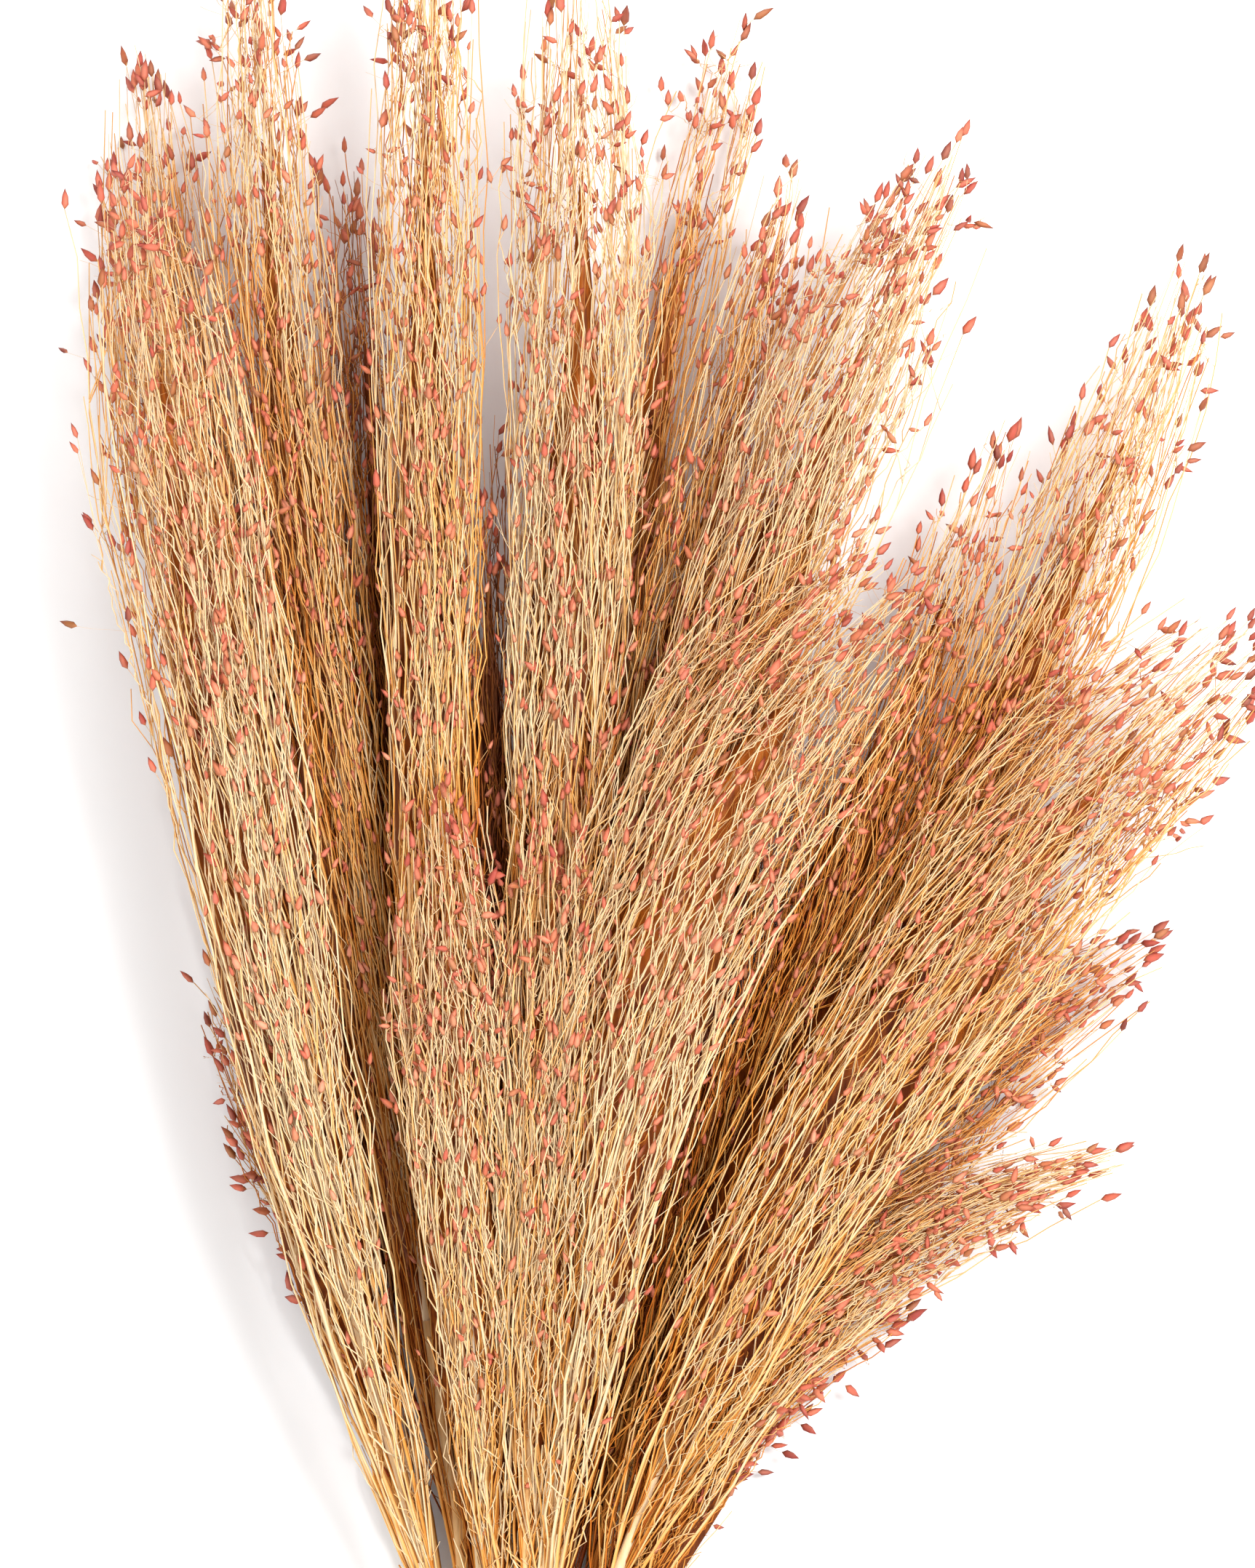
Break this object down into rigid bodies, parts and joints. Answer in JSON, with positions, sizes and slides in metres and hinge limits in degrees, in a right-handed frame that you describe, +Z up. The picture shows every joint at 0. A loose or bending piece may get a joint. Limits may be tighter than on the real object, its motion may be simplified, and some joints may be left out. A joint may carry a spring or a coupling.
{
  "type": "dried panicum grass bunch",
  "caption": "Fanned bunch of dried panicum grass lying down: broom-like panicles of fine straw rays tipped with coral spikelets, on stems tied with raffia.",
  "frame": {"origin": "on the surface that the bunch lies on, under the middle of its bounding box", "axes": "+Y along the bunch from the cut stems to the tips, +X to the right seen from above, +Z up"},
  "size_m": [0.3242, 0.6938, 0.0802],
  "materials": {
    "straw": "matte",
    "spikelet": "matte",
    "raffia": "matte"
  },
  "bodies": {
    "root": {"panicle_left_low": "straw", "panicle_left_back": "straw", "panicle_left_under": "straw", "panicle_left_inner": "straw", "panicle_mid_sparse": "straw", "panicle_right_back": "straw", "panicle_right_lowest": "straw", "panicle_left_tall": "straw", "panicle_mid_under": "straw", "panicle_mid_right": "straw", "panicle_right_under": "straw", "panicle_right_slim": "straw", "panicle_right_tall": "straw", "panicle_right_low": "straw", "panicle_mid_tall": "straw", "panicle_mid_high": "straw", "panicle_centre_high": "straw", "panicle_right_full": "straw", "panicle_left_front": "straw", "panicle_mid_front": "straw", "panicle_centre_front": "straw", "panicle_centre_full": "straw", "raffia_tie": "raffia"}
  },
  "joints": []
}
